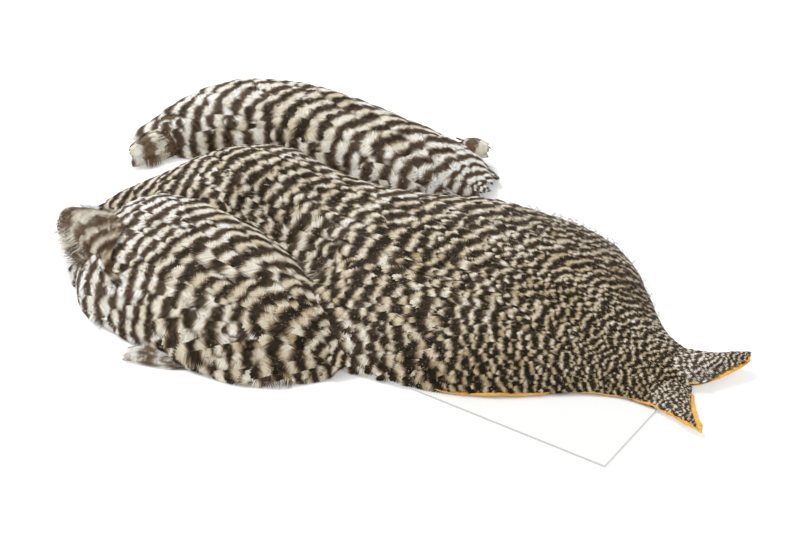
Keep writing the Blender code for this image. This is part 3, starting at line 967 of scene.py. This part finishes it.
def hide_piece():
    """The hide, finer than its solid: its rounded, slightly wavy rim just shows past the feathers."""
    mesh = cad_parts["hide"].data.copy()
    shape = bmesh.new()
    shape.from_mesh(mesh)
    bmesh.ops.remove_doubles(shape, verts=shape.verts, dist=1e-6)
    for vert in shape.verts:
        x, y, _ = (np.array(vert.co) - PELT) / MM
        if x < TUCK_START:
            pull = FAR_TUCK if y > 0 else np.interp(x, *NEAR_TUCK)
            share = min(abs(y - HIDE_MIDDLE) / TUCK_ROOM, 1)
            vert.co.y -= math.copysign(pull * MM * share, y - HIDE_MIDDLE)
    shape.to_mesh(mesh)
    shape.free()
    hide = place_in_scene("hide_skin", mesh)
    finer = hide.modifiers.new("finer", "SUBSURF")
    finer.levels = finer.render_levels = 2
    graph = bpy.context.evaluated_depsgraph_get()
    hide.data = bpy.data.meshes.new_from_object(hide.evaluated_get(graph))
    hide.modifiers.clear()
    places = np.zeros(len(hide.data.vertices) * 3)
    hide.data.vertices.foreach_get("co", places)
    places = places.reshape(-1, 3)
    local = (places - PELT) / MM
    ripple = sum(waves(local, seed, size) * reach for seed, size, reach in FACE_RIPPLES)
    places[:, 2] += ripple * MM
    places[:, 1] += waves(local[:, ::-1] + local, RIM_SEED, RIM_WAVE) * RIM_REACH * MM
    hide.data.vertices.foreach_set("co", places.ravel())
    hide.data.materials.clear()
    hide.data.materials.append(hide_material())
    hide.data.shade_smooth()
    return hide


def keep(piece):
    """A finished piece rides on the one body."""
    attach(piece, "root")
    return piece


def add_camera():
    azimuth, elevation = math.radians(VIEW_AZIMUTH), math.radians(VIEW_ELEVATION)
    back = Vector((
        math.sin(azimuth) * math.cos(elevation),
        -math.cos(azimuth) * math.cos(elevation),
        math.sin(elevation),
    ))
    data = bpy.data.cameras.new("camera")
    data.lens = VIEW_LENS
    data.shift_x = (FRAME_PIXELS[0] / 2 - AIM_PIXEL[0]) / FRAME_PIXELS[0]
    data.shift_y = (AIM_PIXEL[1] - FRAME_PIXELS[1] / 2) / FRAME_PIXELS[0]
    data.clip_start, data.clip_end = 0.01, 20
    camera = place_in_scene("camera", data)
    camera.location = Vector(AIM) * MM + Vector(PELT) + back * EYE_DISTANCE
    camera.rotation_mode = "QUATERNION"
    camera.rotation_quaternion = (-back).to_track_quat("-Z", "Y")
    bpy.context.scene.camera = camera


def add_light(name, place, size, power):
    """A square area light that looks at the middle of the table."""
    data = bpy.data.lights.new(name, "AREA")
    data.size, data.energy = size, power
    light = place_in_scene(name, data)
    light.location = place
    light.rotation_mode = "QUATERNION"
    light.rotation_quaternion = (-Vector(place)).to_track_quat("-Z", "Y")


def add_studio():
    """White table, white surround, a soft main light from the left and a weak one from near by."""
    mesh = bpy.data.meshes.new("table")
    corners = ((-1, -1), (1, -1), (1, 1), (-1, 1))
    mesh.from_pydata([(x * TABLE_HALF, y * TABLE_HALF, 0) for x, y in corners], [], [(0, 1, 2, 3)])
    material, graph = new_material("white_table")
    close_material(graph, {
        "Base Color": TABLE_WHITE,
        "Roughness": 0.6,
        "Emission Color": (1, 1, 1, 1),
        "Emission Strength": TABLE_GLOW,
    })
    mesh.materials.append(material)
    table = place_in_scene("table", mesh)
    table.location.z = -TABLE_DROP

    world = bpy.data.worlds.new("surround")
    world.use_nodes = True
    glow = world.node_tree.nodes["Background"].inputs
    glow["Color"].default_value = (1, 1, 1, 1)
    glow["Strength"].default_value = SURROUND_STRENGTH
    bpy.context.scene.world = world
    for light in LIGHTS:
        add_light(*light)
    bpy.context.scene.view_settings.view_transform = "Standard"


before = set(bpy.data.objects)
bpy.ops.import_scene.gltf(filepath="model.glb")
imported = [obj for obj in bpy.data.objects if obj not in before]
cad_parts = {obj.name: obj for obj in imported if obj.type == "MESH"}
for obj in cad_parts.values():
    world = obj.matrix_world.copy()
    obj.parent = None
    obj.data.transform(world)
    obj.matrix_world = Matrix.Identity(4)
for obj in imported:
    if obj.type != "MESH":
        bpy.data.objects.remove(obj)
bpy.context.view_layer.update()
card_low, card_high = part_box("backing_card")
PELT = np.array([card_high.x - CARD_HEAD_END * MM, card_low.y - CARD_NEAR_EDGE * MM, 0.0])
add_camera()
add_studio()

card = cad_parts["backing_card"].data
card.materials.clear()
card.materials.append(card_material())
hide = keep(hide_piece())
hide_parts("hide")

head_look = feather_material("head_feather_bars", NECK_BARS, barbs=30.0, seed=9.0, lighter=-0.08)
point_look = feather_material(
    "point_feather_bars", NECK_BARS, barbs=30.0, seed=9.0, lighter=-0.06, dark=FADED_BARS)
neck_look = feather_material("neck_feather_bars", NECK_BARS, barbs=46.0, lighter=-0.04)
shoulder_look = feather_material("shoulder_feather_bars", SHOULDER_BARS, barbs=66.0, seed=5.0)
down_look = down_material("dark_down", DOWN_DARK)
folded_look = feather_material(
    "folded_brown_feather", FOLDED_BARS, barbs=90.0, seed=5.0, dark=CURLED_BARS)
wisp_look = downy_material("loose_barbs", BARB_ROOT, BARB_TIP, seed=3.0)
hair_look = downy_material("loose_dark_hairs", HAIR_ROOT, HAIR_TIP)

tree = plumage_tree()
small = templates("small_feather", barbs=9, steps=2, point=0.5, seed=11)
middling = templates("middling_feather", barbs=18, steps=3, point=0.3, ragged=0.16, seed=12)
large = templates("large_feather", barbs=26, steps=3, point=0.12, ragged=0.12, seed=13)
broad = templates("broad_feather", barbs=36, steps=3, point=0.0, ragged=0.1, seed=14)
soft = templates("soft_feather", barbs=34, steps=3, point=0.0, ragged=0.4, web=0.55, seed=15)
wisp = templates("wisp", barbs=4, steps=2, point=0.6, ragged=0.5, web=0.16, seed=16)

neck = Mound(NECK, hollows=NECK_HOLLOWS)
near_shoulder = Mound(NEAR_SHOULDER, fade_in=14)
far_shoulder = Mound(FAR_SHOULDER, fade_in=14)
near_point, far_point = Mound(NEAR_POINT), Mound(FAR_POINT)

neck_plume = {
    "bars": NECK_BARS, "breadth": 0.38, "step": 0.25, "spread": 0.60, "overrun": 5,
    "pitch": ((0, 3.0), (25, 3.3), (60, 4.2), (84, 5.4), (105, 6.6), (130, 7.4), (160, 7.4),
              (200, 6.2), (248, 5.6)),
    "fan": ((0, 0.25), (40, 0.8), (80, 0.9), (120, 0.7), (180, 0.6), (250, 0.5)),
    # The neck's near side is darker: partly its own tone, partly painted shade beside the near
    # shoulder's ridge
    "tone": ((0, 0.30), (40, 0.28), (90, 0.42), (150, 0.52), (250, 0.60)), "tone_across": 0.10,
    "uneven": ((0, 0.40), (50, 0.30), (110, 0.24), (150, 0.17), (190, 0.12), (250, 0.10)),
    "waves": (0.20, 0.07), "splay": 0.3,
}
point_plume = {
    "feathers": small, "bars": NECK_BARS, "breadth": 0.28, "step": 0.24, "spread": 0.6,
    "run_in": 2.0, "pitch": ((0, 2.8), (30, 3.2)), "fan": ((0, 0.2),),
    "tone": ((0, 0.6), (30, 0.5)), "uneven": ((0, 0.35), (30, 0.3)),
}
shoulder_plume = {
    "feathers": broad, "bars": SHOULDER_BARS, "breadth": 0.42, "step": 0.24, "spread": 0.56,
    "uneven": ((0, 0.11), (150, 0.10)), "waves": (0.20, 0.06), "splay": 0.3,
}
folded_plume = {
    "feathers": broad, "bars": FOLDED_BARS, "breadth": 0.5, "step": 0.12, "spread": 0.3,
    "pitch": ((0, 10),), "fan": ((0, 0.3), (30, 0.5)), "uneven": ((0, 0.05),), "run_in": 9.0,
    "offset": 0.9, "waves": (0.05, 0.02), "lift": 0.5, "roll": 0.06, "stray": 0.1,
}
wisp_plume = {
    "feathers": wisp, "bars": 1.0, "breadth": 0.22, "step": 0.8, "spread": 4.5, "lift": 0.7,
    "thick": 0.09, "stray": 0.3, "overrun": 2, "splay": 1.2,
    "tone": ((0, 0.5),), "uneven": ((0, 0.3),),
}
edge_hair_plume = wisp_plume | {
    "band": (0.45, 1.0), "part": (28, 110), "pitch": ((0, 6), (110, 9)),
    "fan": neck_plume["fan"], "step": 0.3, "spread": 2.0, "lift": 3.0, "thick": 0.4,
    "splay": 0.8, "run_in": 9.0,
}
# Name, mass, settings, look, the CAD node that it stands for, seed
plumages = (
    ("neck_front_plumage", neck, neck_plume | {"feathers": small, "part": (-9, 45)},
     head_look, "neck_hackle", 100),
    ("neck_middle_plumage", neck, neck_plume | {"feathers": middling, "part": (45, 135)},
     neck_look, "neck_hackle", 100),
    ("neck_rear_plumage", neck, neck_plume | {"feathers": large, "part": (135, 999)},
     neck_look, "neck_hackle", 100),
    ("neck_wisps", neck, wisp_plume | {
        "pitch": ((0, 3.5), (60, 6), (250, 9)), "fan": neck_plume["fan"], "spread": 2.4},
     wisp_look, None, 200),
    ("neck_edge_hairs", neck, edge_hair_plume, hair_look, None, 230),
    ("near_point_plumage", near_point, point_plume, point_look, None, 110),
    ("far_point_plumage", far_point, point_plume, point_look, None, 120),
    ("near_shoulder_plumage", near_shoulder, shoulder_plume | {
        "pitch": ((0, 8.4), (40, 8.6), (70, 7.4), (100, 5.8), (130, 5.2)),
        "centre": NEAR_SHOULDER_CENTRE, "rings": ((0, 8.6), (65, 8.2), (95, 6.4), (125, 5.2)),
        "run_in": 12.0, "overrun": 4, "tone": ((0, 0.35), (60, 0.5), (120, 1.05)),
        "tone_across": -0.05},
     shoulder_look, "near_shoulder_feathers", 130),
    ("near_shoulder_wisps", near_shoulder, wisp_plume | {
        "pitch": ((0, 7), (130, 9)), "centre": NEAR_SHOULDER_CENTRE},
     wisp_look, None, 210),
    ("far_shoulder_plumage", far_shoulder, shoulder_plume | {
        "pitch": ((0, 6.8), (40, 8.8), (110, 8.6), (150, 9.2)), "lean": 0.4,
        "fan": ((0, 0.6), (150, 0.8)),
        "run_in": 8.0, "overrun": 4, "tone": ((0, 0.9), (80, 0.6), (150, 0.95))},
     shoulder_look, "far_shoulder_feathers", 140),
    ("far_shoulder_wisps", far_shoulder, wisp_plume | {
        "pitch": ((0, 7), (130, 9)), "fan": ((0, 0.6), (130, 0.3))},
     wisp_look, None, 220),
    ("curled_tuft", Mound(CURLED_TUFT), folded_plume | {
        "feathers": soft, "centre": CURLED_TUFT_CENTRE, "rings": ((28, 9), (40, 20)),
        "offset": -0.4, "run_in": 14.0, "tone": ((0, 0.4), (40, 0.65)), "uneven": ((0, 0.1),)},
     folded_look, None, 150),
    ("stray_side_feathers", Mound(STRAY_FEATHERS), folded_plume | {
        "feathers": soft, "pitch": ((0, 12), (30, 11)), "tone": ((0, 0.9),),
        "uneven": ((0, 0.12),), "stray": 0.25},
     folded_look, None, 160),
    ("far_tip_feather", Mound(FAR_TIP), folded_plume | {"tone": ((0, 0.5), (30, 0.8))},
     folded_look, None, 170),
    ("far_end_curl", Mound(FAR_END_CURL), folded_plume | {
        "tone": ((0, 0.7),), "offset": 0.3},
     folded_look, None, 180),
)
for name, mound, plume, look, node, seed in plumages:
    plumage = keep(lay_feathers(name, mound, plume, look, tree, seed))
    if node:
        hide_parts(node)
for name, mound, node in (
    ("neck_down", neck, "neck_hackle"),
    ("near_point_down", near_point, None),
    ("far_point_down", far_point, None),
    ("near_shoulder_down", near_shoulder, "near_shoulder_feathers"),
    ("far_shoulder_down", far_shoulder, "far_shoulder_feathers"),
):
    down = keep(down_body(name, mound, down_look))
    if node:
        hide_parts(node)
